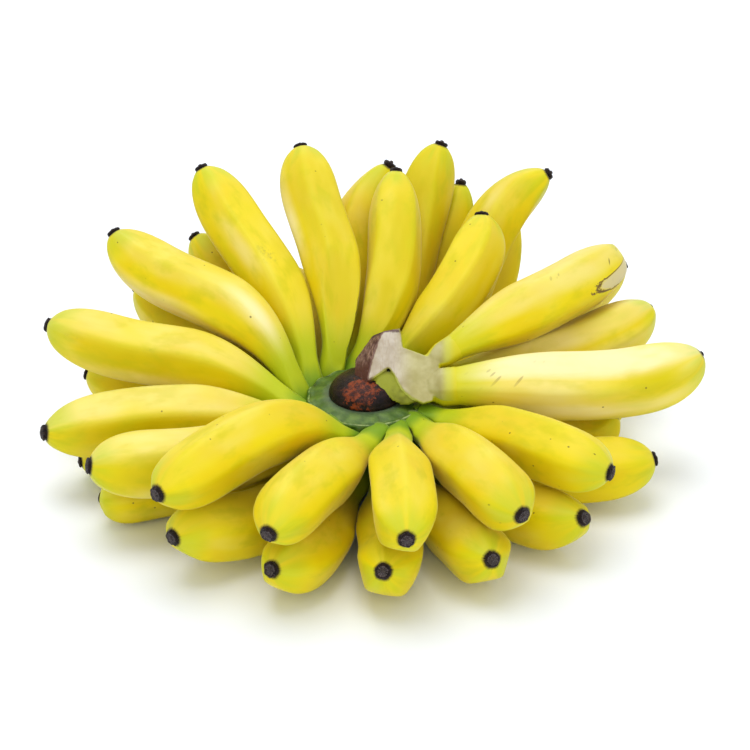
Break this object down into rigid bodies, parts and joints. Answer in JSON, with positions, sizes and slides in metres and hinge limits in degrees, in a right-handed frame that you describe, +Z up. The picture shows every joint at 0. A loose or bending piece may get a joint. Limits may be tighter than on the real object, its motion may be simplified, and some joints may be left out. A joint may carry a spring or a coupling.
{
  "type": "banana bunch",
  "caption": "Bunch of short plump apple bananas fanned out in tiers round a short stalk, with a hand of them on a pale cut crown on top.",
  "frame": {"origin": "middle of the stalk's flat foot, on the plane the bunch rests on", "axes": "+Z up along the stalk to its dark end, +X to the right of the picture towards the three fingers of the cut crown, +Y away from the camera"},
  "size_m": [0.2706, 0.24, 0.0993],
  "materials": {
    "peel": "satin",
    "green_stalk": "satin",
    "dark_end": "matte",
    "cut_face": "matte"
  },
  "bodies": {
    "root": {"stalk": "green_stalk", "stalk_end": "dark_end", "cut_crown": "cut_face", "finger_crown_far": "peel", "finger_crown_near": "peel", "finger_crown_top": "peel", "finger_low_01": "peel", "finger_low_02": "peel", "finger_low_03": "peel", "finger_low_04": "peel", "finger_low_05": "peel", "finger_low_06": "peel", "finger_low_07": "peel", "finger_low_08": "peel", "finger_low_09": "peel", "finger_low_10": "peel", "finger_low_11": "peel", "finger_low_12": "peel", "finger_low_13": "peel", "finger_low_14": "peel", "finger_low_15": "peel", "finger_middle_01": "peel", "finger_middle_02": "peel", "finger_middle_03": "peel", "finger_middle_04": "peel", "finger_middle_05": "peel", "finger_middle_06": "peel", "finger_middle_07": "peel", "finger_middle_08": "peel", "finger_middle_09": "peel", "finger_top_01": "peel", "finger_top_02": "peel", "finger_top_03": "peel", "finger_top_04": "peel", "finger_top_05": "peel", "finger_top_06": "peel", "finger_top_07": "peel", "finger_top_08": "peel", "finger_top_09": "peel", "finger_top_10": "peel", "finger_top_11": "peel", "finger_top_12": "peel", "finger_top_13": "peel"}
  },
  "joints": []
}
